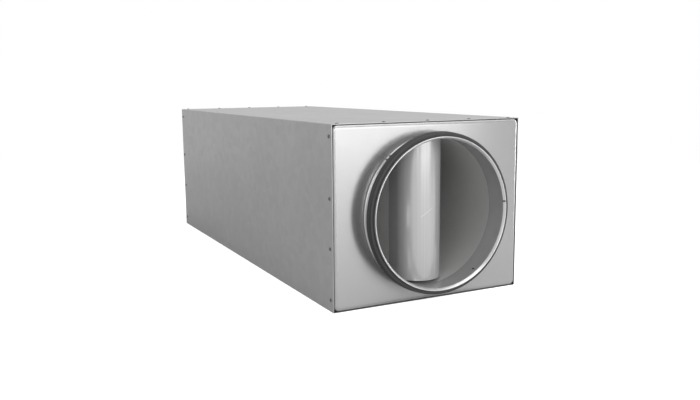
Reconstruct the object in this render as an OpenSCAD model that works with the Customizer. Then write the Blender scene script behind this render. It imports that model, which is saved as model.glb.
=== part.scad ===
// Duct sound attenuator: a rectangular galvanised casing with a round spigot at each end.
// Inside, a perforated tube wrapped in mineral wool carries the air past a wool-filled baffle.
// Millimetres, +Z up, the air path along Y, the origin under the middle of the casing.

/* [Casing] */
// Outside width of the casing
casing_w = 355; // [330:1:480]
// Outside height of the casing
casing_h = 295; // [285:1:420]
// Length of the casing between its cut edges
casing_l = 885; // [600:1:1400]
// Thickness of the casing sheet
casing_t = 0.8; // [0.6:0.1:1.2]
// Outside radius of the casing's long folds
fold_r = 2; // [1.5:0.1:4]
// Width of the lap flange behind each long seam
lap_w = 15; // [10:1:20]
// Play between a lap flange and the wall that it lies behind
lap_gap = 0.1; // [0.05:0.05:0.3]

/* [End plates] */
// Thickness of the end plate's sheet
plate_t = 0.8; // [0.6:0.1:1.2]
// How far the end plate's face stands in front of the casing's edge
plate_proud = 2.5; // [1.5:0.5:7]
// Depth of the end plate's skirt, from its face
skirt_depth = 22; // [20:1:30]
// Outside radius of the bend between the face and the skirt
plate_bend = 7; // [3:0.5:8]
// Radius of the end plate's corners, seen from the front
plate_corner = 9; // [8:0.5:12]
// Play between the skirt and the casing wall
plate_gap = 0.15; // [0.05:0.05:0.3]

/* [Spigots] */
// Inside diameter of the duct that slides onto a spigot
duct_d = 250; // [220:1:260]
// Play between the duct and the spigot, on the diameter
spigot_play = 1.2; // [0.6:0.1:1.8]
// Thickness of the spigot's sheet
spigot_t = 0.8; // [0.6:0.1:1]
// Length of a spigot in front of the end plate's face
spigot_l = 37.5; // [30:0.5:60]
// Length of a spigot behind the end plate's face
spigot_tail = 8; // [5:0.5:12]
// How much the tail is set down to go through the end plate into the tube
tail_step = 0.4; // [0.2:0.1:0.5]
// Width of the stop bead that seats on the end plate
bead_w = 4; // [3:0.5:5]
// Width of the folded rim at the mouth
rim_w = 3.5; // [3:0.5:6]
// Width of the gasket's groove behind the rim
groove_w = 10; // [8:0.5:12]
// Depth of the gasket's groove
groove_d = 2.5; // [2:0.1:3.5]
// Run of the sloped walls of the groove
groove_run = 1; // [0.8:0.1:1.5]

/* [Gaskets] */
// Play between the gasket and the groove
gasket_gap = 0.05; // [0.02:0.01:0.1]
// How far the gasket's lips stand above the spigot when a duct presses them down
lip_stand = 0.4; // [0.1:0.1:0.5]
// Width of each pressed lip
lip_w = 2.5; // [2:0.1:2.5]
// Depth of the valley between the lips
lip_valley = 0.8; // [0.4:0.1:1.2]

/* [Perforated tube] */
// Thickness of the tube's sheet
tube_t = 0.8; // [0.6:0.1:1.2]
// Play between the tube and the spigot's tail
tube_gap = 0.2; // [0.1:0.05:0.3]
// Play between the tube's ends and the end plates
tube_end_gap = 0.3; // [0.1:0.1:0.5]

/* [Baffle] */
// Thickness of the baffle over its rounded noses
baffle_w = 79; // [60:1:100]
// Thickness of the baffle's sheets
baffle_t = 0.8; // [0.6:0.1:1]
// Distance from the casing's edge back to the tip of a nose
nose_setback = 3; // [2.5:0.5:40]
// Straight lap of a nose over the facings
nose_lap = 25; // [15:1:40]
// Height of the flanges of the top and bottom channels
channel_h = 15; // [10:1:25]
// Play between the baffle's edges and the tube
baffle_gap = 0.6; // [0.3:0.1:0.9]
// Play between sheets of the baffle that lie on each other
layer_gap = 0.05; // [0.02:0.01:0.1]

/* [Baffle fixings] */
// Number of fixings along the top and along the bottom of the baffle
fixing_count = 3; // [2:1:5]
// Distance from the casing's edge to the first fixing
fixing_end = 110; // [90:1:150]
// Diameter of a spacer between tube and baffle
spacer_d = 12; // [10:0.5:14]
// Diameter of a screw
screw_d = 4.8; // [4:0.1:6]
// Diameter of a screw's head
screw_head_d = 9; // [8:0.5:11]
// Height of a screw's head
screw_head_h = 2.4; // [2:0.1:3]
// Length of a screw inside the baffle
screw_bite = 8; // [5:0.5:12]
// Play around a screw
screw_gap = 0.1; // [0.05:0.05:0.2]

/* [Mineral wool] */
// Play around the wool
wool_gap = 0.3; // [0.2:0.1:0.6]
// Play between the wool's ends and the end plates
wool_end_gap = 1.2; // [1:0.1:3]
// How far the side blocks reach over the tube, short of its middle
wool_tongue = 30; // [20:1:45]

/* [Rivets] */
// Diameter of a rivet's shank
rivet_d = 3.2; // [2.8:0.1:4]
// Diameter of a rivet's head
rivet_head_d = 6.5; // [5.5:0.1:8]
// Height of a rivet's head
rivet_head_h = 1.2; // [0.8:0.1:1.6]
// Diameter of the hole that the mandrel leaves in a head
mandrel_d = 1.8; // [1.2:0.1:2]
// Depth of the mandrel's hole
mandrel_depth = 0.8; // [0.4:0.1:1.2]
// Diameter of the set end of a rivet
rivet_tail_d = 4.6; // [4.2:0.1:5.2]
// Length of the set end of a rivet
rivet_tail_l = 3; // [2:0.1:4]
// Play around a rivet's shank
rivet_gap = 0.1; // [0.05:0.05:0.2]
// Distance from the casing's edge back to the row of rivets
rivet_back = 10; // [8:0.5:12]
// Distance from a casing corner to the outer rivets of a side wall
side_rivet_corner = 19; // [16:1:30]
// Height of a side wall's lower inner rivet
side_rivet_low = 101; // [80:1:115]
// Distance from the top down to a side wall's upper inner rivet
side_rivet_high = 115; // [80:1:130]
// Number of rivets across the top at each end
top_rivet_count = 5; // [3:1:7]
// Distance from a casing corner to the outer rivets of the top
top_rivet_corner = 14; // [14:1:30]

/* [Hidden] */
$fn = 96;
galvanised = [0.74, 0.75, 0.76];
tube_steel = [0.55, 0.56, 0.57];
gasket_rubber = [0.16, 0.16, 0.17];
wool_yellow = [0.78, 0.70, 0.45];
rivet_grey = [0.42, 0.42, 0.43];

// Places along the part
half_l = casing_l / 2;
face_y = half_l + plate_proud;
axis_z = casing_h / 2;
skirt_end_y = face_y - skirt_depth;

// End plates
plate_w = casing_w - 2 * (casing_t + plate_gap);
plate_h = casing_h - 2 * (casing_t + plate_gap);
corner_x = plate_w / 2 - plate_corner;
corner_z = plate_h / 2 - plate_corner;

// Radii around the air path
wall_r = (duct_d - spigot_play) / 2;
tail_r = wall_r - tail_step;
tube_r = tail_r + tube_gap;
tube_out_r = tube_r + tube_t;
wool_r = tube_out_r + wool_gap;

// Places along a spigot, counted outwards from the end plate's face
rim_s = spigot_l - rim_w;
groove_s = rim_s - groove_w;
gasket_s0 = groove_s + groove_run + gasket_gap;
gasket_s1 = rim_s - groove_run - gasket_gap;
bead_r = bead_w / 2;

// Baffle
nose_r = baffle_w / 2;
tip_y = half_l - nose_setback;
nose_y = tip_y - nose_r;
lap_y = nose_y - nose_lap;
facing_x = nose_r - baffle_t - layer_gap;
channel_x = facing_x - baffle_t - layer_gap;
core_x = channel_x - baffle_t - layer_gap;
baffle_z = sqrt(pow(tube_r, 2) - pow(nose_r, 2)) - baffle_gap;
core_z = baffle_z - baffle_t - layer_gap;

// Baffle fixings
fixing_span = casing_l - 2 * fixing_end;
fixing_pitch = fixing_span / (fixing_count - 1);
fixing_ys = [for (i = [0 : fixing_count - 1]) i * fixing_pitch - fixing_span / 2];
spacer_z0 = baffle_z + layer_gap;
spacer_z1 = sqrt(pow(tube_r, 2) - pow(spacer_d / 2, 2));
screw_hole_r = screw_d / 2 + screw_gap;
head_z = tube_out_r + screw_gap;

// Mineral wool: clear of the lap flanges, and near the ends of the plates' bends and the rivets' set ends
wool_x = casing_w / 2 - 2 * casing_t - lap_gap - wool_gap;
wool_z = casing_h / 2 - 2 * casing_t - lap_gap - wool_gap;
wool_end_y = face_y - plate_t - wool_end_gap;
wool_step_y = skirt_end_y - wool_gap;
bend_in_r = plate_bend - plate_t;
bend_depth = plate_bend - sqrt(pow(bend_in_r, 2) - pow(bend_in_r - wool_end_gap, 2));
wool_relief = plate_gap + max(plate_t + rivet_tail_l, bend_depth) - casing_t - lap_gap + wool_gap;

// Rivets
rivet_y = half_l - rivet_back;
rivet_grip = casing_t + plate_gap + plate_t;
side_rivet_zs = [
    side_rivet_corner,
    side_rivet_low,
    casing_h - side_rivet_high,
    casing_h - side_rivet_corner
];
top_rivet_span = casing_w - 2 * top_rivet_corner;
top_rivet_pitch = top_rivet_span / (top_rivet_count - 1);
top_rivet_xs = [for (i = [0 : top_rivet_count - 1]) i * top_rivet_pitch - top_rivet_span / 2];

// A piece of the rear end, drawn with +Z pointing out of the box from the end plate's face
module rear_end() {
    translate([0, face_y, axis_z])
        rotate([-90, 0, 0])
            children();
}

// The same piece at the front end
module front_end() {
    mirror([0, 1, 0])
        rear_end()
            children();
}

// A flat outline in X and Z, extruded along Y between two places
module along_y(y0, y1) {
    translate([0, y1, 0])
        rotate([90, 0, 0])
            linear_extrude(y1 - y0)
                children();
}

// A quarter of a bent sheet, in the quadrant up and left of its centre
module bend_2d(r, t) {
    intersection() {
        difference() {
            circle(r);
            circle(r - t);
        }
        translate([-r, 0])
            square(r);
    }
}

// A rivet along +Z, with the underside of its head at the origin
module rivet() {
    difference() {
        union() {
            cylinder(d1 = rivet_head_d, d2 = rivet_head_d - 2 * rivet_head_h, h = rivet_head_h);
            translate([0, 0, -rivet_grip])
                cylinder(d = rivet_d, h = rivet_grip);
            translate([0, 0, -rivet_grip - rivet_tail_l])
                cylinder(d = rivet_tail_d, h = rivet_tail_l);
        }
        translate([0, 0, rivet_head_h - mandrel_depth])
            cylinder(d = mandrel_d, h = 2 * mandrel_depth);
    }
}

// The places of one end's rivets on the left wall, turned to point outwards
module at_left_rivets() {
    for (z = side_rivet_zs)
        translate([-casing_w / 2, rivet_y, z])
            rotate([0, -90, 0])
                children();
}

// The places of one end's rivets across the top
module at_top_rivets() {
    for (x = top_rivet_xs)
        translate([x, rivet_y, casing_h])
            children();
}

// The hole for one rivet through the casing and the skirt
module rivet_hole() {
    translate([0, 0, -2 * rivet_grip])
        cylinder(r = rivet_d / 2 + rivet_gap, h = 4 * rivet_grip);
}

// The same thing at the rear and, mirrored, at the front
module at_both_ends() {
    for (end = [0, 1])
        mirror([0, end, 0])
            children();
}

// One of the two folded sheets of the casing: the left wall and the top, with a lap flange on the right
module casing_sheet() {
    edge_x = casing_w / 2 - casing_t - lap_gap;
    lap_y1 = skirt_end_y - wool_gap;
    along_y(-half_l, half_l) {
        translate([-casing_w / 2, 0])
            square([casing_t, casing_h - fold_r]);
        translate([-casing_w / 2 + fold_r, casing_h - fold_r])
            bend_2d(fold_r, casing_t);
        translate([-casing_w / 2 + fold_r, casing_h - casing_t])
            square([edge_x + casing_w / 2 - 2 * fold_r, casing_t]);
    }
    along_y(-lap_y1, lap_y1) {
        translate([edge_x - fold_r, casing_h - fold_r])
            mirror([1, 0])
                bend_2d(fold_r, casing_t);
        translate([edge_x - casing_t, casing_h - lap_w])
            square([casing_t, lap_w - fold_r]);
    }
    at_both_ends()
        along_y(lap_y1, half_l)
            translate([edge_x - fold_r, casing_h - casing_t])
                square([fold_r, casing_t]);
}

module casing_left_top() {
    color(galvanised)
        difference() {
            union()
                casing_sheet();
            at_both_ends() {
                at_left_rivets()
                    rivet_hole();
                at_top_rivets()
                    rivet_hole();
            }
        }
}

module casing_right_bottom() {
    color(galvanised)
        difference() {
            translate([0, 0, casing_h])
                rotate([0, 180, 0])
                    casing_sheet();
            mirror([1, 0, 0])
                at_both_ends()
                    at_left_rivets()
                        rivet_hole();
        }
}

// The section of an end plate's edge: face strip, bend and skirt, from a corner's centre outwards
module plate_edge_2d() {
    flat = plate_corner - plate_bend;
    translate([0, -plate_t])
        square([flat, plate_t]);
    translate([flat, -plate_bend])
        mirror([1, 0])
            bend_2d(plate_bend, plate_t);
    translate([plate_corner - plate_t, -skirt_depth])
        square([plate_t, skirt_depth - plate_bend]);
}

// A pressed end plate with rounded edges and corners, a hole for the spigot and a skirt
module end_plate() {
    difference() {
        union() {
            translate([-corner_x, -corner_z, -plate_t])
                cube([2 * corner_x, 2 * corner_z, plate_t]);
            for (turn = [0, 180])
                rotate([0, 0, turn]) {
                    translate([corner_x, corner_z, 0])
                        rotate([90, 0, 0])
                            linear_extrude(2 * corner_z)
                                plate_edge_2d();
                    translate([-corner_x, corner_z, 0])
                        rotate([90, 0, 90])
                            linear_extrude(2 * corner_x)
                                plate_edge_2d();
                    translate([corner_x, corner_z, 0])
                        rotate_extrude(angle = 90)
                            plate_edge_2d();
                    translate([-corner_x, corner_z, 0])
                        rotate([0, 0, 90])
                            rotate_extrude(angle = 90)
                                plate_edge_2d();
                }
        }
        translate([0, 0, -2 * plate_t])
            cylinder(r = tail_r + tube_gap, h = 4 * plate_t);
    }
}

// The end plate at the rear, drilled for its rivets
module drilled_end_plate() {
    difference() {
        rear_end()
            end_plate();
        for (side = [0, 1])
            mirror([side, 0, 0])
                at_left_rivets()
                    rivet_hole();
        at_top_rivets()
            rivet_hole();
    }
}

module front_end_plate() {
    color(galvanised)
        mirror([0, 1, 0])
            drilled_end_plate();
}

module rear_end_plate() {
    color(galvanised)
        drilled_end_plate();
}

// A rolled spigot: tail, stop bead, wall, gasket groove and folded rim
module spigot() {
    inner_r = wall_r - spigot_t;
    rotate_extrude() {
        translate([tail_r - spigot_t, -spigot_tail])
            square([spigot_t, spigot_tail + spigot_t]);
        intersection() {
            translate([inner_r, bead_r])
                difference() {
                    circle(bead_r);
                    circle(bead_r - spigot_t);
                }
            translate([inner_r, 0])
                square(bead_w);
        }
        polygon([
            [wall_r, bead_w - spigot_t],
            [wall_r, groove_s],
            [wall_r - groove_d, groove_s + groove_run],
            [wall_r - groove_d, rim_s - groove_run],
            [wall_r, rim_s],
            [wall_r, spigot_l - spigot_t],
            [inner_r - spigot_t, spigot_l - spigot_t],
            [inner_r - spigot_t, rim_s],
            [inner_r - groove_d, rim_s - groove_run],
            [inner_r - groove_d, groove_s + groove_run],
            [inner_r, groove_s],
            [inner_r, bead_w - spigot_t]
        ]);
        translate([inner_r, spigot_l - spigot_t])
            circle(spigot_t);
    }
}

module front_spigot() {
    color(galvanised)
        front_end()
            spigot();
}

module rear_spigot() {
    color(galvanised)
        rear_end()
            spigot();
}

// A rubber gasket in its groove, with two round lips pressed down as they are inside a duct
module gasket() {
    floor_r = wall_r - groove_d + gasket_gap;
    valley_r = wall_r - lip_valley;
    lip_r = lip_w / 2;
    rotate_extrude() {
        translate([floor_r, gasket_s0])
            square([valley_r - floor_r, gasket_s1 - gasket_s0]);
        for (s = [gasket_s0 + lip_r, gasket_s1 - lip_r])
            translate([wall_r + lip_stand - lip_r, s])
                circle(lip_r);
    }
}

module front_gasket() {
    color(gasket_rubber)
        front_end()
            gasket();
}

module rear_gasket() {
    color(gasket_rubber)
        rear_end()
            gasket();
}

// The places of the baffle's screws below the tube's axis, pointing down and out of the tube
module at_fixings() {
    for (y = fixing_ys)
        translate([0, y, axis_z])
            rotate([180, 0, 0])
                children();
}

// The same places above the axis
module at_upper_fixings() {
    translate([0, 0, 2 * axis_z])
        mirror([0, 0, 1])
            at_fixings()
                children();
}

module perforated_tube() {
    end_y = face_y - plate_t - tube_end_gap;
    color(tube_steel)
        difference() {
            translate([0, end_y, axis_z])
                rotate([90, 0, 0])
                    difference() {
                        cylinder(r = tube_out_r, h = 2 * end_y);
                        translate([0, 0, -1])
                            cylinder(r = tube_r, h = 2 * end_y + 2);
                    }
            at_fixings()
                translate([0, 0, tube_r / 2])
                    cylinder(r = screw_hole_r, h = tube_r);
            at_upper_fixings()
                translate([0, 0, tube_r / 2])
                    cylinder(r = screw_hole_r, h = tube_r);
        }
}

// A box around the air path's axis, by half its sizes
module box_about_axis(half_x, half_y, half_z) {
    translate([-half_x, -half_y, axis_z - half_z])
        cube([2 * half_x, 2 * half_y, 2 * half_z]);
}

// The room that the wool may fill: the casing's inside, and in the end plates what their corners leave
module wool_room() {
    box_about_axis(wool_x, wool_step_y, wool_z);
    box_about_axis(wool_x - wool_relief, wool_end_y, corner_z);
    box_about_axis(corner_x, wool_end_y, wool_z - wool_relief);
}

// A flat slab of wool under the tube, with a pocket for each screw head
module wool_slab() {
    slab_z = axis_z - wool_r;
    difference() {
        intersection() {
            wool_room();
            translate([-casing_w, -casing_l, 0])
                cube([2 * casing_w, 2 * casing_l, slab_z]);
        }
        at_fixings()
            cylinder(d = screw_head_d + 2 * wool_gap, h = head_z + screw_head_h + wool_gap);
    }
}

// A block of wool on the right of the tube, hollowed to fit round it
module wool_block() {
    block_z = wool_r - wool_gap;
    difference() {
        intersection() {
            wool_room();
            translate([wool_tongue, -casing_l, axis_z - block_z])
                cube([casing_w, 2 * casing_l, 2 * block_z]);
        }
        translate([0, casing_l, axis_z])
            rotate([90, 0, 0])
                cylinder(r = wool_r, h = 2 * casing_l);
    }
}

module wool_bottom() {
    color(wool_yellow)
        wool_slab();
}

module wool_top() {
    color(wool_yellow)
        translate([0, 0, casing_h])
            mirror([0, 0, 1])
                wool_slab();
}

module wool_right() {
    color(wool_yellow)
        wool_block();
}

module wool_left() {
    color(wool_yellow)
        mirror([1, 0, 0])
            wool_block();
}

// The outline of a nose at the rear, round in front and straight-sided behind
module nose_2d(r) {
    translate([0, nose_y])
        circle(r);
    translate([-r, lap_y - nose_r])
        square([2 * r, nose_lap + nose_r]);
}

// A half-round nose sheet at the rear of the baffle, with a straight lap on each side
module baffle_nose() {
    translate([0, 0, axis_z - baffle_z])
        linear_extrude(2 * baffle_z)
            intersection() {
                difference() {
                    nose_2d(nose_r);
                    nose_2d(nose_r - baffle_t);
                }
                translate([-nose_r, lap_y])
                    square([2 * nose_r, nose_lap + nose_r]);
            }
}

module baffle_nose_rear() {
    color(galvanised)
        baffle_nose();
}

module baffle_nose_front() {
    color(galvanised)
        mirror([0, 1, 0])
            baffle_nose();
}

// A perforated facing on the right flank of the baffle
module baffle_facing() {
    translate([facing_x - baffle_t, -nose_y, axis_z - baffle_z])
        cube([baffle_t, 2 * nose_y, 2 * baffle_z]);
}

module baffle_facing_right() {
    color(tube_steel)
        baffle_facing();
}

module baffle_facing_left() {
    color(tube_steel)
        mirror([1, 0, 0])
            baffle_facing();
}

// A flat outline with round ends, as long as the baffle
module round_ended_2d(half_w) {
    translate([-half_w, -nose_y])
        square([2 * half_w, 2 * nose_y]);
    for (end = [-1, 1])
        translate([0, end * nose_y])
            circle(half_w);
}

// The channel that closes the underside of the baffle
module baffle_channel() {
    difference() {
        union() {
            translate([0, 0, axis_z - baffle_z])
                linear_extrude(baffle_t)
                    round_ended_2d(channel_x);
            for (side = [0, 1])
                mirror([side, 0, 0])
                    translate([channel_x - baffle_t, -nose_y, axis_z - baffle_z])
                        cube([baffle_t, 2 * nose_y, channel_h]);
        }
        at_fixings()
            cylinder(r = screw_hole_r, h = tube_r);
    }
}

module baffle_channel_bottom() {
    color(galvanised)
        baffle_channel();
}

module baffle_channel_top() {
    color(galvanised)
        translate([0, 0, casing_h])
            mirror([0, 0, 1])
                baffle_channel();
}

module baffle_core() {
    bite_z = core_z - screw_bite - layer_gap;
    color(wool_yellow)
        difference() {
            translate([0, 0, axis_z - core_z])
                linear_extrude(2 * core_z)
                    round_ended_2d(core_x);
            at_fixings()
                translate([0, 0, bite_z])
                    cylinder(r = screw_hole_r, h = tube_r);
            at_upper_fixings()
                translate([0, 0, bite_z])
                    cylinder(r = screw_hole_r, h = tube_r);
        }
}

// A spacer sleeve between the tube and the baffle
module spacer() {
    difference() {
        translate([0, 0, spacer_z0])
            cylinder(d = spacer_d, h = spacer_z1 - spacer_z0);
        cylinder(r = screw_hole_r, h = tube_r);
    }
}

module baffle_spacers() {
    color(galvanised) {
        at_fixings()
            spacer();
        at_upper_fixings()
            spacer();
    }
}

// A screw from outside the tube through the spacer into the baffle
module screw() {
    tip_z = core_z - screw_bite;
    union() {
        translate([0, 0, tip_z])
            cylinder(d = screw_d, h = head_z + screw_head_h - tip_z);
        translate([0, 0, head_z])
            cylinder(d = screw_head_d, h = screw_head_h);
    }
}

module baffle_screws() {
    color(rivet_grey) {
        at_fixings()
            screw();
        at_upper_fixings()
            screw();
    }
}

// The rivets that hold the rear end plate in the casing
module casing_rivets() {
    for (side = [0, 1])
        mirror([side, 0, 0])
            at_left_rivets()
                rivet();
    at_top_rivets()
        rivet();
}

module rear_casing_rivets() {
    color(rivet_grey)
        casing_rivets();
}

module front_casing_rivets() {
    color(rivet_grey)
        mirror([0, 1, 0])
            casing_rivets();
}

casing_left_top();
casing_right_bottom();
front_end_plate();
rear_end_plate();
front_spigot();
rear_spigot();
front_gasket();
rear_gasket();
perforated_tube();
wool_top();
wool_bottom();
wool_left();
wool_right();
baffle_nose_front();
baffle_nose_rear();
baffle_facing_left();
baffle_facing_right();
baffle_channel_top();
baffle_channel_bottom();
baffle_core();
baffle_spacers();
baffle_screws();
front_casing_rivets();
rear_casing_rivets();
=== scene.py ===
import math

import bpy
import numpy as np
from mathutils import Matrix, Vector


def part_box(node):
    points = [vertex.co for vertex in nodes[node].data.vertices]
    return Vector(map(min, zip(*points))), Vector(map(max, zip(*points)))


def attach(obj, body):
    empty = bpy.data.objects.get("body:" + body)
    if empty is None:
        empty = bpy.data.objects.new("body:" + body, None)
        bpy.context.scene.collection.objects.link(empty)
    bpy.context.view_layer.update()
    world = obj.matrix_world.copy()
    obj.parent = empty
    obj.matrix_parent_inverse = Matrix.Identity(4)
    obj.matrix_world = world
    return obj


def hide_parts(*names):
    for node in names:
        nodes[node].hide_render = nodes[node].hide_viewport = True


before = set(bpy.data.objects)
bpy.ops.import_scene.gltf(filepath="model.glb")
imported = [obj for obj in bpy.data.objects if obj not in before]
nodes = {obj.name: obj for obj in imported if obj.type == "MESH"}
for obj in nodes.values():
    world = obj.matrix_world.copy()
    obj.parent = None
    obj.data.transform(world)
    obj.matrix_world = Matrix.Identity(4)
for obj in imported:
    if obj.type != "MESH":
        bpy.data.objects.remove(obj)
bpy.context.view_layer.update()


# The studio: a plain pale floor under a white background, seen from the photograph's place.
# The camera stands in front of the left corner, a little above the casing, and looks slightly down.
IMAGE_WIDTH_PX = 700
FOCAL_PX = 745.3
SENSOR_MM = 36.0
CAMERA_AT = (-0.661, -1.4573, 0.3543)
CAMERA_AZIMUTH, CAMERA_ELEVATION, CAMERA_ROLL = np.radians([-26.85, 8.84, -0.51])

camera_back = np.array([
    math.sin(CAMERA_AZIMUTH) * math.cos(CAMERA_ELEVATION),
    -math.cos(CAMERA_AZIMUTH) * math.cos(CAMERA_ELEVATION),
    math.sin(CAMERA_ELEVATION),
])
level_right = np.array([math.cos(CAMERA_AZIMUTH), math.sin(CAMERA_AZIMUTH), 0.0])
level_up = np.cross(camera_back, level_right)
camera_right = math.cos(CAMERA_ROLL) * level_right + math.sin(CAMERA_ROLL) * level_up
camera_up = np.cross(camera_back, camera_right)

camera_data = bpy.data.cameras.new("camera")
camera_data.sensor_fit = "HORIZONTAL"
camera_data.sensor_width = SENSOR_MM
camera_data.lens = SENSOR_MM * FOCAL_PX / IMAGE_WIDTH_PX
camera = bpy.data.objects.new("camera", camera_data)
camera.matrix_world = Matrix.Translation(CAMERA_AT) @ Matrix(
    np.column_stack([camera_right, camera_up, camera_back]).tolist()
).to_4x4()
bpy.context.scene.collection.objects.link(camera)
bpy.context.scene.camera = camera
bpy.context.scene.view_settings.view_transform = "Standard"


def linear(hex_code):
    """An sRGB hex colour as linear red, green, blue and alpha: the sRGB curve undone on each channel."""
    srgb = np.array([int(hex_code[i:i + 2], 16) for i in (1, 3, 5)]) / 255
    lin = np.where(srgb <= 0.04045, srgb / 12.92, ((srgb + 0.055) / 1.055) ** 2.4)
    return (*lin.tolist(), 1.0)


def add(tree, kind, inputs=None, **settings):
    """Adds one node. Settings are its properties; inputs are sockets by name or number,
    each a plain value or a (node, output) pair that is linked."""
    node = tree.nodes.new(kind)
    for key, value in settings.items():
        setattr(node, key, value)
    for key, value in (inputs or {}).items():
        if isinstance(value, tuple) and isinstance(value[0], bpy.types.Node):
            tree.links.new(value[0].outputs[value[1]], node.inputs[key])
        else:
            node.inputs[key].default_value = value
    return node


def seen_ray(tree):
    """One for a ray that shows the background: from the camera, or through a reflection or glass."""
    path = add(tree, "ShaderNodeLightPath")
    shown = add(tree, "ShaderNodeMath",
                {0: (path, "Is Camera Ray"), 1: (path, "Is Glossy Ray")}, operation="MAXIMUM")
    return add(tree, "ShaderNodeMath",
               {0: (shown, "Value"), 1: (path, "Is Transmission Ray")}, operation="MAXIMUM")


# The air around the part: white wherever it is seen, and a plain level of soft light on everything else.
WHITE = linear("#FFFFFF")
AMBIENT_LEVEL, SEEN_LEVEL = 0.45, 1.0
world = bpy.data.worlds.new("studio")
world.use_nodes = True
bpy.context.scene.world = world
world_tree = world.node_tree
world_tree.nodes.clear()
ambient = add(world_tree, "ShaderNodeBackground", {"Color": WHITE, "Strength": AMBIENT_LEVEL})
background = add(world_tree, "ShaderNodeBackground", {"Color": WHITE, "Strength": SEEN_LEVEL})
world_mix = add(world_tree, "ShaderNodeMixShader", {
    0: (seen_ray(world_tree), "Value"), 1: (ambient, "Background"), 2: (background, "Background")})
add(world_tree, "ShaderNodeOutputWorld", {"Surface": (world_mix, "Shader")})


def new_material(name):
    """A new node material, its tree, and the texture coordinates that are all it holds so far."""
    material = bpy.data.materials.new(name)
    material.use_nodes = True
    tree = material.node_tree
    tree.nodes.clear()
    return material, tree, add(tree, "ShaderNodeTexCoord")


# The floor: matt pale paper that takes the part's shadow and fades into the white background around it.
# A glow lifts it to white for the camera, and less so in reflections, so that the zinc keeps its depth.
FLOOR_HALF = 4.0
FADE_FROM, FADE_TO = 0.9, 2.6
PAPER_GREY = "#E0E0E0"
PAPER_GLOW, CAMERA_GLOW = 0.16, 0.55

floor_mesh = bpy.data.meshes.new("floor")
floor_mesh.from_pydata(
    [(-FLOOR_HALF, -FLOOR_HALF, 0), (FLOOR_HALF, -FLOOR_HALF, 0),
     (FLOOR_HALF, FLOOR_HALF, 0), (-FLOOR_HALF, FLOOR_HALF, 0)], [], [(0, 1, 2, 3)])
floor = bpy.data.objects.new("floor", floor_mesh)
bpy.context.scene.collection.objects.link(floor)

paper, tree, coords = new_material("white_paper")
matt = add(tree, "ShaderNodeBsdfDiffuse", {"Color": linear(PAPER_GREY)})
seen_glow = add(tree, "ShaderNodeMath", {0: (seen_ray(tree), "Value"), 1: PAPER_GLOW}, operation="MULTIPLY")
path = add(tree, "ShaderNodeLightPath")
glow_level = add(tree, "ShaderNodeMath", {
    0: (path, "Is Camera Ray"), 1: CAMERA_GLOW, 2: (seen_glow, "Value")}, operation="MULTIPLY_ADD")
glow = add(tree, "ShaderNodeEmission", {"Color": WHITE, "Strength": (glow_level, "Value")})
lit_paper = add(tree, "ShaderNodeAddShader", {0: (matt, "BSDF"), 1: (glow, "Emission")})
reach = add(tree, "ShaderNodeVectorMath", {0: (coords, "Object")}, operation="LENGTH")
fade = add(tree, "ShaderNodeMapRange", {
    "Value": (reach, "Value"), "From Min": FADE_FROM, "From Max": FADE_TO}, interpolation_type="SMOOTHSTEP")
clear = add(tree, "ShaderNodeBsdfTransparent")
faded_paper = add(tree, "ShaderNodeMixShader", {
    0: (fade, "Result"), 1: (lit_paper, "Shader"), 2: (clear, "BSDF")})
add(tree, "ShaderNodeOutputMaterial", {"Surface": (faded_paper, "Shader")})
floor_mesh.materials.append(paper)


def softbox(name, place, aim, width, height, level):
    """A rectangular area lamp that faces a point.
    Its power is its level of brightness times pi times its area."""
    lamp = bpy.data.lights.new(name, "AREA")
    lamp.shape = "RECTANGLE"
    lamp.size = width
    lamp.size_y = height
    lamp.energy = level * math.pi * width * height
    holder = bpy.data.objects.new(name, lamp)
    facing = Vector(place) - Vector(aim)
    holder.matrix_world = Matrix.Translation(place) @ facing.to_track_quat("Z", "Y").to_matrix().to_4x4()
    holder.visible_camera = False
    bpy.context.scene.collection.objects.link(holder)


# A wide lamp for the end plate, two that light the mouth from either side, one for the left wall, one above
softbox("front_softbox", place=(0.5, -2.4, 0.8), aim=(0.5, 0.0, 0.8),
        width=1.94, height=1.6, level=3.4)
softbox("strip_light", place=(-1.2, -2.9, 0.9), aim=(0.0, -0.44, 0.15),
        width=0.3, height=1.6, level=13.0)
softbox("left_softbox", place=(-2.0, -2.3, 0.75), aim=(0.0, -0.45, 0.2),
        width=1.5, height=1.3, level=2.2)
softbox("right_softbox", place=(1.85, -1.0, 0.5), aim=(0.0, -0.45, 0.15),
        width=0.45, height=1.2, level=9.0)
softbox("top_softbox", place=(0.4, -1.1, 2.6), aim=(0.0, -0.4, 0.3),
        width=3.0, height=1.6, level=2.6)


# The casing: two sheets of hot-dip galvanised steel, folded along their length and lapped at two corners.
# The zinc gives a satin grey with faint crystals and soft clouds, and no colour of its own.
MM = 0.001
SPANGLE = 14 * MM
CLOUD = 160 * MM
# The zinc's own grain is finer than a pixel, so it is drawn coarser
GRAIN = 1.6 * MM
GRAIN_DEPTH = 0.2 * MM
CASING_GREYS = ("#919191", "#9B9B9B")
CASING_ROUGH = (0.36, 0.44)
CASING_SPANGLE_SHARE = 0.35


def zinc_tone(tree, coords, spangle_share):
    """A tone from 0 to 1 over a galvanised sheet: soft clouds mixed with one grey per zinc crystal."""
    cloud = add(tree, "ShaderNodeTexNoise",
                {"Vector": (coords, "Object"), "Scale": 1 / CLOUD, "Detail": 3.0})
    crystal = add(tree, "ShaderNodeTexVoronoi", {"Vector": (coords, "Object"), "Scale": 1 / SPANGLE})
    crystal_grey = add(tree, "ShaderNodeSeparateColor", {"Color": (crystal, "Color")})
    return add(tree, "ShaderNodeMix",
               {0: spangle_share, 2: (cloud, "Fac"), 3: (crystal_grey, "Red")}, data_type="FLOAT")


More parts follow.
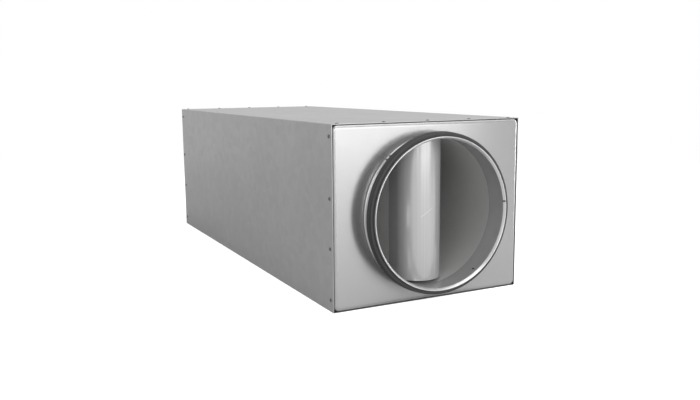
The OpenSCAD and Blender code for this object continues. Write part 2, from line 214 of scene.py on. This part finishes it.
def toned_colour(tree, tone, colours):
    """The colour of a surface: its tone runs from the darker to the lighter of two colours."""
    dark, light = colours
    return add(tree, "ShaderNodeMix", {0: (tone, 0), 6: linear(dark), 7: linear(light)}, data_type="RGBA")


def zinc_finish(tree, coords, tone, grey, roughness, metallic=0.94, grain_height=0.03):
    """The shader of a galvanised sheet: its roughness falls as its tone rises, and a grain is its bump.
    The zinc's own dull bloom keeps it a little short of bare metal."""
    smooth, rough = roughness
    toned_rough = add(tree, "ShaderNodeMapRange", {"Value": (tone, 0), "To Min": rough, "To Max": smooth})
    grain = add(tree, "ShaderNodeTexNoise",
                {"Vector": (coords, "Object"), "Scale": 1 / GRAIN, "Detail": 2.0})
    bump = add(tree, "ShaderNodeBump",
               {"Height": (grain, "Fac"), "Strength": grain_height, "Distance": GRAIN_DEPTH})
    return add(tree, "ShaderNodeBsdfPrincipled", {
        "Base Color": (grey, 2), "Metallic": metallic,
        "Roughness": (toned_rough, "Result"), "Normal": (bump, "Normal")})


def dress(material, *names):
    """Puts one material on CAD nodes in place of what they came with."""
    for name in names:
        nodes[name].data.materials.clear()
        nodes[name].data.materials.append(material)


casing_steel, tree, coords = new_material("galvanised_casing_sheet")
tone = zinc_tone(tree, coords, CASING_SPANGLE_SHARE)
grey = toned_colour(tree, tone, CASING_GREYS)
finish = zinc_finish(tree, coords, tone, grey, CASING_ROUGH)
add(tree, "ShaderNodeOutputMaterial", {"Surface": (finish, "BSDF")})
dress(casing_steel, "casing_left_top", "casing_right_bottom")


# The end plates: pans pressed from the same sheet, their skirts riveted inside the casing.
# The sheet is rolled upright, so it mirrors the collar softly and draws every light out up and down.
PLATE_GREYS = ("#939393", "#999999")
PLATE_ROUGH = (0.23, 0.27)
PLATE_METALLIC = 0.75
PLATE_GRAIN_HEIGHT = 0.006
PLATE_SPANGLE_SHARE = 0.25
ROLLED_STRETCH = 0.72

plate_steel, tree, coords = new_material("pressed_galvanised_plate")
tone = zinc_tone(tree, coords, PLATE_SPANGLE_SHARE)
grey = toned_colour(tree, tone, PLATE_GREYS)
finish = zinc_finish(tree, coords, tone, grey, PLATE_ROUGH, PLATE_METALLIC, PLATE_GRAIN_HEIGHT)
upright = add(tree, "ShaderNodeCombineXYZ", {"Z": 1.0})
finish.inputs["Anisotropic"].default_value = ROLLED_STRETCH
tree.links.new(upright.outputs["Vector"], finish.inputs["Tangent"])
add(tree, "ShaderNodeOutputMaterial", {"Surface": (finish, "BSDF")})
dress(plate_steel, "front_end_plate", "rear_end_plate")


# The spigots: strips of galvanised sheet rolled to lapped collars and pushed through the end plates.
# Each has a stop bead on the plate, a groove for the gasket and a rim folded back inside.
# The zinc is a dull satin, with dark edges at the seam.
SPIGOT_REACH_MM = 37.5
WALL_R_MM = 124.4
SHEET_MM = 0.8
INSIDE_R_MM = WALL_R_MM - SHEET_MM
TAIL_MM, TAIL_R_MM = 8.0, 124.0
BEAD_R_MM = 2.0
GROOVE_FROM_MM, GROOVE_TO_MM, GROOVE_R_MM = 24.0, 34.0, 121.9
GROOVE_SLOPE_MM = 1.0
GROOVE_INSIDE_MM = 25.4
FOLD_EDGE_MM = (33.6, 120.7)
SHARP_FROM_DEGREES = 35
SPIGOT_STEPS = 384
COLLAR_GREYS = ("#A8A8A8", "#B2B2B2")
COLLAR_ROUGH = (0.2, 0.26)
COLLAR_METALLIC = 0.5
COLLAR_SPANGLE_SHARE = 0.2
MARK_GREY = "#3A3A3A"
MARK_HALF_WIDTH = 2.2 * MM
# The share of a mark's half width that has its full colour
MARK_CORE = 0.4
# Turn in degrees and two reaches in mm: the edges of the lap seam, then a dark dot at the rim and one
# inside
COLLAR_MARKS = [(133.8, 4.0, 23.5), (130.0, 4.0, 23.5), (5.7, 34.0, 36.0), (-54.5, 18.5, 21.5)]

spigot_low, spigot_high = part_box("front_spigot")
AXIS_Z = (spigot_low.z + spigot_high.z) / 2
FACE_Y = -spigot_low.y - SPIGOT_REACH_MM * MM


def arc_points(centre, radius, start, end, steps):
    """Points on an arc in reach and radius:
    the centre plus the arc's radius along the cosine and sine of the angle."""
    angle = np.radians(np.linspace(start, end, steps))
    return np.array(centre) + radius * np.stack([np.cos(angle), np.sin(angle)], axis=1)


def turned_ring(name, profile_mm, out, steps):
    """A closed profile of (reach, radius) carried round the air path's axis:
    x and z are the radius times cosine and sine of the turn, and y is the plate's face plus the reach."""
    reach, radius = (np.array(profile_mm) * MM).T
    turn = np.linspace(0.0, 2 * math.pi, steps, endpoint=False)
    points = np.stack([
        np.outer(np.cos(turn), radius),
        np.broadcast_to(out * (FACE_Y + reach), (steps, len(radius))),
        np.outer(np.sin(turn), radius) + AXIS_Z,
    ], axis=2).reshape(-1, 3)
    across = np.arange(len(radius))
    along = np.arange(steps)[:, None]
    next_along, next_across = (along + 1) % steps, (across + 1) % len(radius)
    corners = [along * len(radius) + across, next_along * len(radius) + across,
               next_along * len(radius) + next_across, along * len(radius) + next_across]
    quads = np.stack([np.broadcast_to(c, (steps, len(radius))) for c in corners], axis=2).reshape(-1, 4)
    if out > 0:
        quads = quads[:, ::-1]
    mesh = bpy.data.meshes.new(name)
    mesh.from_pydata(points.tolist(), [], quads.tolist())
    mesh.shade_smooth()
    mesh.set_sharp_from_angle(angle=math.radians(SHARP_FROM_DEGREES))
    ring = bpy.data.objects.new(name, mesh)
    bpy.context.scene.collection.objects.link(ring)
    return ring


def around_axis(tree, coords):
    """The place of a point, and its turn round the air path's axis in radians."""
    place = add(tree, "ShaderNodeSeparateXYZ", {"Vector": (coords, "Object")})
    height = add(tree, "ShaderNodeMath", {0: (place, "Z"), 1: AXIS_Z}, operation="SUBTRACT")
    turn = add(tree, "ShaderNodeMath", {0: (height, "Value"), 1: (place, "X")}, operation="ARCTAN2")
    return place, turn


def cross_marks(tree, place, turn, marks):
    """One on narrow marks across the collar and nought beside them.
    A mark is a turn in degrees and two reaches in mm;
    the distance to the nearest mark is compared with half its width."""
    depth = add(tree, "ShaderNodeMath", {0: (place, "Y")}, operation="ABSOLUTE")
    nearest = None
    for mark_turn, mark_from, mark_to in marks:
        middle = FACE_Y + (mark_from + mark_to) / 2 * MM
        half_length = (mark_to - mark_from) / 2 * MM
        off_turn = add(tree, "ShaderNodeMath",
                       {0: (turn, "Value"), 1: math.radians(mark_turn)}, operation="SUBTRACT")
        off_arc = add(tree, "ShaderNodeMath",
                      {0: (off_turn, "Value"), 1: WALL_R_MM * MM}, operation="MULTIPLY")
        off_middle = add(tree, "ShaderNodeMath", {0: (depth, "Value"), 1: middle}, operation="SUBTRACT")
        off_reach = add(tree, "ShaderNodeMath", {0: (off_middle, "Value")}, operation="ABSOLUTE")
        past_end = add(tree, "ShaderNodeMath",
                       {0: (off_reach, "Value"), 1: half_length}, operation="SUBTRACT")
        beyond = add(tree, "ShaderNodeMath", {0: (past_end, "Value"), 1: 0.0}, operation="MAXIMUM")
        off = add(tree, "ShaderNodeCombineXYZ", {"X": (off_arc, "Value"), "Y": (beyond, "Value")})
        distance = add(tree, "ShaderNodeVectorMath", {0: (off, "Vector")}, operation="LENGTH")
        nearest = distance if nearest is None else add(
            tree, "ShaderNodeMath", {0: (nearest, "Value"), 1: (distance, "Value")}, operation="MINIMUM")
    return add(tree, "ShaderNodeMapRange", {
        "Value": (nearest, "Value"), "From Min": MARK_HALF_WIDTH, "From Max": MARK_CORE * MARK_HALF_WIDTH})


# Reach and radius in mm: the tail and the bead, the groove, the round of the rim, and back along the inside
SPIGOT_PROFILE = np.concatenate([
    [(-TAIL_MM, TAIL_R_MM), (0.0, TAIL_R_MM)],
    arc_points((BEAD_R_MM, INSIDE_R_MM), BEAD_R_MM, start=168, end=24, steps=13),
    [(GROOVE_FROM_MM, WALL_R_MM), (GROOVE_FROM_MM + GROOVE_SLOPE_MM, GROOVE_R_MM),
     (GROOVE_TO_MM - GROOVE_SLOPE_MM, GROOVE_R_MM), (GROOVE_TO_MM, WALL_R_MM)],
    arc_points((SPIGOT_REACH_MM - SHEET_MM, INSIDE_R_MM), SHEET_MM, start=90, end=-60, steps=11),
    [FOLD_EDGE_MM, (GROOVE_INSIDE_MM, GROOVE_R_MM - SHEET_MM),
     (GROOVE_FROM_MM, INSIDE_R_MM), (-TAIL_MM, INSIDE_R_MM)],
])

spigot_steel, tree, coords = new_material("rolled_galvanised_collar")
place, turn = around_axis(tree, coords)
marks = cross_marks(tree, place, turn, COLLAR_MARKS)
tone = zinc_tone(tree, coords, COLLAR_SPANGLE_SHARE)
grey = toned_colour(tree, tone, COLLAR_GREYS)
marked_grey = add(tree, "ShaderNodeMix",
                  {0: (marks, "Result"), 6: (grey, 2), 7: linear(MARK_GREY)}, data_type="RGBA")
collar_smooth, collar_rough = COLLAR_ROUGH
rough = add(tree, "ShaderNodeMapRange",
            {"Value": (tone, 0), "To Min": collar_rough, "To Max": collar_smooth})
collar = add(tree, "ShaderNodeBsdfPrincipled", {
    "Base Color": (marked_grey, 2), "Metallic": COLLAR_METALLIC, "Roughness": (rough, "Result")})
add(tree, "ShaderNodeOutputMaterial", {"Surface": (collar, "BSDF")})

for end, out in (("front", -1), ("rear", 1)):
    ring = turned_ring(end + "_rolled_spigot", SPIGOT_PROFILE, out, SPIGOT_STEPS)
    ring.data.materials.append(spigot_steel)
    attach(ring, "root")
    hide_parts(end + "_spigot")


# The gaskets: rings of black moulded rubber that sit in the spigots' grooves, each with two free lips.
# The rear lip leans back from the mouth and the front one stands, so that both press on a duct's wall.
# The rubber is nearly black and matt, with a faint grey bloom.
GASKET_STEPS = 192
RUBBER_GREYS = ("#1C1C1D", "#272728")
RUBBER_ROUGH = (0.5, 0.62)
RUBBER_IOR = 1.52
RUBBER_SHINE = 0.3
BLOOM = 30 * MM
# Rubber has finer pores, which are drawn coarser so that they show
PORE = 0.8 * MM
PORE_DEPTH = 0.1 * MM
PORE_HEIGHT = 0.1


def lip_side(start, bend, end, steps):
    """Points along one side of a lip: a quadratic curve from start to end, pulled towards bend."""
    t = np.linspace(0.0, 1.0, steps)[:, None]
    return (1 - t) ** 2 * np.array(start) + 2 * t * (1 - t) * np.array(bend) + t ** 2 * np.array(end)


# Reach and radius in mm: the rear flank, the rear lip, the band between, the front lip and the front flank
GASKET_PROFILE = np.concatenate([
    [(25.05, 121.95), (24.9, 123.2), (24.7, 124.3)],
    lip_side((25.0, 124.9), (24.7, 128.9), (21.9, 131.5), steps=9),
    [(21.9, 131.8), (22.25, 131.9)],
    lip_side((22.6, 131.7), (25.9, 129.3), (26.9, 125.6), steps=9),
    [(27.7, 125.0), (30.1, 125.0)],
    lip_side((30.8, 125.4), (32.4, 128.2), (32.2, 130.4), steps=7),
    [(32.4, 130.8), (32.8, 130.8)],
    lip_side((33.1, 130.5), (33.8, 128.0), (32.9, 125.2), steps=7),
    [(33.2, 124.2), (33.05, 123.2), (32.95, 121.95)],
])

gasket_rubber, tree, coords = new_material("moulded_black_rubber")
bloom = add(tree, "ShaderNodeTexNoise",
            {"Vector": (coords, "Object"), "Scale": 1 / BLOOM, "Detail": 4.0})
rubber_grey = toned_colour(tree, bloom, RUBBER_GREYS)
rubber_smooth, rubber_dull = RUBBER_ROUGH
rubber_rough = add(tree, "ShaderNodeMapRange",
                   {"Value": (bloom, "Fac"), "To Min": rubber_smooth, "To Max": rubber_dull})
pores = add(tree, "ShaderNodeTexNoise",
            {"Vector": (coords, "Object"), "Scale": 1 / PORE, "Detail": 2.0})
rubber_bump = add(tree, "ShaderNodeBump",
                  {"Height": (pores, "Fac"), "Strength": PORE_HEIGHT, "Distance": PORE_DEPTH})
rubber = add(tree, "ShaderNodeBsdfPrincipled", {
    "Base Color": (rubber_grey, 2), "Roughness": (rubber_rough, "Result"), "IOR": RUBBER_IOR,
    "Specular IOR Level": RUBBER_SHINE, "Normal": (rubber_bump, "Normal")})
add(tree, "ShaderNodeOutputMaterial", {"Surface": (rubber, "BSDF")})

for end, out in (("front", -1), ("rear", 1)):
    ring = turned_ring(end + "_lip_gasket", GASKET_PROFILE, out, GASKET_STEPS)
    ring.data.materials.append(gasket_rubber)
    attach(ring, "root")
    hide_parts(end + "_gasket")


# The tube that carries the air: galvanised sheet punched with staggered round holes and rolled to a seam.
# From the mouth the holes are too fine to tell apart: with pale wool behind them they only dull the sheet.
TUBE_R = 124.2 * MM
HOLES_ROUND = 260
HOLE_PITCH = 2 * math.pi * TUBE_R / HOLES_ROUND
HOLE_R = 0.8 * MM
HOLE_EDGE = 0.35 * MM
HOLE_GREY = "#A09F9C"
TUBE_GREYS = ("#A0A0A0", "#A8A8A8")
PUNCHED_SPANGLE_SHARE = 0.3
PUNCHED_METALLIC, HOLE_METALLIC = 0.35, 0.0
PUNCHED_ROUGH, HOLE_ROUGH = 0.42, 0.8


def staggered_holes(tree, flat):
    """One inside a punched hole and nought on the sheet: the distance to the nearer of two grids of points,
    the second set half a pitch along and one row up, compared with the hole's radius."""
    row = HOLE_PITCH * math.sqrt(3) / 2
    half = (HOLE_PITCH / 2, row, 1.0)
    distances = []
    for shift in ((0.0, 0.0, 0.0), (HOLE_PITCH / 2, row, 0.0)):
        moved = add(tree, "ShaderNodeVectorMath", {0: (flat, "Vector"), 1: shift}, operation="ADD")
        wrapped = add(tree, "ShaderNodeVectorMath",
                      {0: (moved, "Vector"), 1: half, 2: tuple(-h for h in half)}, operation="WRAP")
        distances.append(add(tree, "ShaderNodeVectorMath", {0: (wrapped, "Vector")}, operation="LENGTH"))
    nearest = add(tree, "ShaderNodeMath",
                  {0: (distances[0], "Value"), 1: (distances[1], "Value")}, operation="MINIMUM")
    return add(tree, "ShaderNodeMapRange", {
        "Value": (nearest, "Value"), "From Min": HOLE_R + HOLE_EDGE, "From Max": HOLE_R - HOLE_EDGE})


def punched_finish(tree, coords, holes, greys):
    """The shader of punched sheet: zinc between the holes, and the dull wool behind them inside."""
    grey = toned_colour(tree, zinc_tone(tree, coords, PUNCHED_SPANGLE_SHARE), greys)
    with_holes = add(tree, "ShaderNodeMix",
                     {0: (holes, "Result"), 6: (grey, 2), 7: linear(HOLE_GREY)}, data_type="RGBA")
    metal = add(tree, "ShaderNodeMapRange",
                {"Value": (holes, "Result"), "To Min": PUNCHED_METALLIC, "To Max": HOLE_METALLIC})
    rough = add(tree, "ShaderNodeMapRange",
                {"Value": (holes, "Result"), "To Min": PUNCHED_ROUGH, "To Max": HOLE_ROUGH})
    return add(tree, "ShaderNodeBsdfPrincipled", {
        "Base Color": (with_holes, 2), "Metallic": (metal, "Result"), "Roughness": (rough, "Result")})


tube_steel, tree, coords = new_material("punched_galvanised_tube")
place, turn = around_axis(tree, coords)
arc = add(tree, "ShaderNodeMath", {0: (turn, "Value"), 1: TUBE_R}, operation="MULTIPLY")
unrolled = add(tree, "ShaderNodeCombineXYZ", {"X": (arc, "Value"), "Y": (place, "Y")})
finish = punched_finish(tree, coords, staggered_holes(tree, unrolled), TUBE_GREYS)
add(tree, "ShaderNodeOutputMaterial", {"Surface": (finish, "BSDF")})
dress(tube_steel, "perforated_tube")


# The mineral wool: slabs above and below the tube, shaped blocks beside it, and the core of the baffle.
# Bonded fibre, cut and packed in, has a dull straw colour with paler strands, and no shine.
WOOL_COLOURS = ("#8C7A48", "#CDBE8E")
WOOL_ROUGH = 0.95
# Single fibres are far too fine to show, so they are drawn as tufts
TUFT = 6 * MM
TUFT_DEPTH = 1.5 * MM
TUFT_HEIGHT = 0.6

wool, tree, coords = new_material("bonded_mineral_wool")
strands = add(tree, "ShaderNodeTexNoise", {
    "Vector": (coords, "Object"), "Scale": 1 / TUFT, "Detail": 6.0, "Distortion": 1.5})
wool_colour = toned_colour(tree, strands, WOOL_COLOURS)
wool_bump = add(tree, "ShaderNodeBump",
                {"Height": (strands, "Fac"), "Strength": TUFT_HEIGHT, "Distance": TUFT_DEPTH})
fibre = add(tree, "ShaderNodeBsdfPrincipled", {
    "Base Color": (wool_colour, 2), "Roughness": WOOL_ROUGH, "Normal": (wool_bump, "Normal")})
add(tree, "ShaderNodeOutputMaterial", {"Surface": (fibre, "BSDF")})
dress(wool, "wool_top", "wool_bottom", "wool_left", "wool_right", "baffle_core")


# The baffle's noses, channels and spacers: plain galvanised sheet, and sleeves cut from tube.
# The noses are rolled half round and lapped over the facings. Rolling leaves faint upright streaks
# in the zinc, and the round sheet draws every light into an upright band.
NOSE_GREYS = ("#979797", "#A5A5A5")
NOSE_ROUGH = (0.19, 0.25)
NOSE_METALLIC = 0.4
NOSE_GRAIN_HEIGHT = 0.006
# Roll marks are finer than a pixel, so the streaks are drawn wider
STREAK = 3 * MM
STREAK_LENGTH = 400 * MM
# One thin pale scratch on the front nose
SCRATCH_GREY = "#B8B8B8"
SCRATCH_FROM_MM, SCRATCH_TO_MM = (-14.3, -436.8, 138.0), (5.5, -439.1, 151.7)
SCRATCH_HALF_WIDTH = 0.6 * MM
SCRATCH_CORE = 0.2
DEPTH_SHARE = 0.02


def straight_mark(tree, coords, start_mm, end_mm, half_width):
    """One on a straight mark and nought beside it: the distance to the nearest point of the line
    from start to end, seen along the air path and compared with half the mark's width.
    Depth counts little, for the sheet is curved."""
    flatten = Vector((1.0, DEPTH_SHARE, 1.0))
    start, end = Vector(start_mm) * MM * flatten, Vector(end_mm) * MM * flatten
    run = end - start
    flat = add(tree, "ShaderNodeVectorMath", {0: (coords, "Object"), 1: flatten}, operation="MULTIPLY")
    offset = add(tree, "ShaderNodeVectorMath", {0: (flat, "Vector"), 1: start}, operation="SUBTRACT")
    along = add(tree, "ShaderNodeVectorMath",
                {0: (offset, "Vector"), 1: run / run.length_squared}, operation="DOT_PRODUCT")
    held = add(tree, "ShaderNodeClamp", {"Value": (along, "Value")})
    nearest = add(tree, "ShaderNodeVectorMath", {0: run, "Scale": (held, "Result")}, operation="SCALE")
    apart = add(tree, "ShaderNodeVectorMath",
                {0: (offset, "Vector"), 1: (nearest, "Vector")}, operation="DISTANCE")
    return add(tree, "ShaderNodeMapRange", {
        "Value": (apart, "Value"), "From Min": half_width, "From Max": SCRATCH_CORE * half_width})


nose_steel, tree, coords = new_material("rolled_galvanised_nose")
stretched = add(tree, "ShaderNodeMapping", {
    "Vector": (coords, "Object"), "Scale": (1 / STREAK, 1 / STREAK, 1 / STREAK_LENGTH)})
streaks = add(tree, "ShaderNodeTexNoise", {"Vector": (stretched, "Vector"), "Scale": 1.0, "Detail": 3.0})
grey = toned_colour(tree, streaks, NOSE_GREYS)
scratch = straight_mark(tree, coords, SCRATCH_FROM_MM, SCRATCH_TO_MM, SCRATCH_HALF_WIDTH)
scratched_grey = add(tree, "ShaderNodeMix",
                     {0: (scratch, "Result"), 6: (grey, 2), 7: linear(SCRATCH_GREY)}, data_type="RGBA")
finish = zinc_finish(tree, coords, streaks, scratched_grey, NOSE_ROUGH, NOSE_METALLIC, NOSE_GRAIN_HEIGHT)
add(tree, "ShaderNodeOutputMaterial", {"Surface": (finish, "BSDF")})
dress(nose_steel, "baffle_nose_front", "baffle_nose_rear", "baffle_channel_top", "baffle_channel_bottom",
      "baffle_spacers")


# The baffle's facings: punched galvanised sheet on both flanks, held under the noses' laps.
# They have the tube's holes, on a flat and slightly brighter sheet.
FACING_GREYS = ("#B8B8B8", "#C0C0C0")

facing_steel, tree, coords = new_material("punched_galvanised_facing")
place = add(tree, "ShaderNodeSeparateXYZ", {"Vector": (coords, "Object")})
flank = add(tree, "ShaderNodeCombineXYZ", {"X": (place, "Z"), "Y": (place, "Y")})
finish = punched_finish(tree, coords, staggered_holes(tree, flank), FACING_GREYS)
add(tree, "ShaderNodeOutputMaterial", {"Surface": (finish, "BSDF")})
dress(facing_steel, "baffle_facing_left", "baffle_facing_right")


# The rivets and screws: blind steel rivets through casing and skirt, and screws from outside the tube
# through the spacers into the baffle. They are drawn dark grey, so that they read as small dark dots on the
# bright zinc.
FIXING_GREYS = ("#4A4A4B", "#6C6C6D")
FIXING_ROUGH = (0.4, 0.55)
TARNISH = 2 * MM

fixing_steel, tree, coords = new_material("dark_fixing_steel")
tarnish = add(tree, "ShaderNodeTexNoise",
              {"Vector": (coords, "Object"), "Scale": 1 / TARNISH, "Detail": 3.0})
grey = toned_colour(tree, tarnish, FIXING_GREYS)
finish = zinc_finish(tree, coords, tarnish, grey, FIXING_ROUGH)
add(tree, "ShaderNodeOutputMaterial", {"Surface": (finish, "BSDF")})
dress(fixing_steel, "front_casing_rivets", "rear_casing_rivets", "baffle_screws")
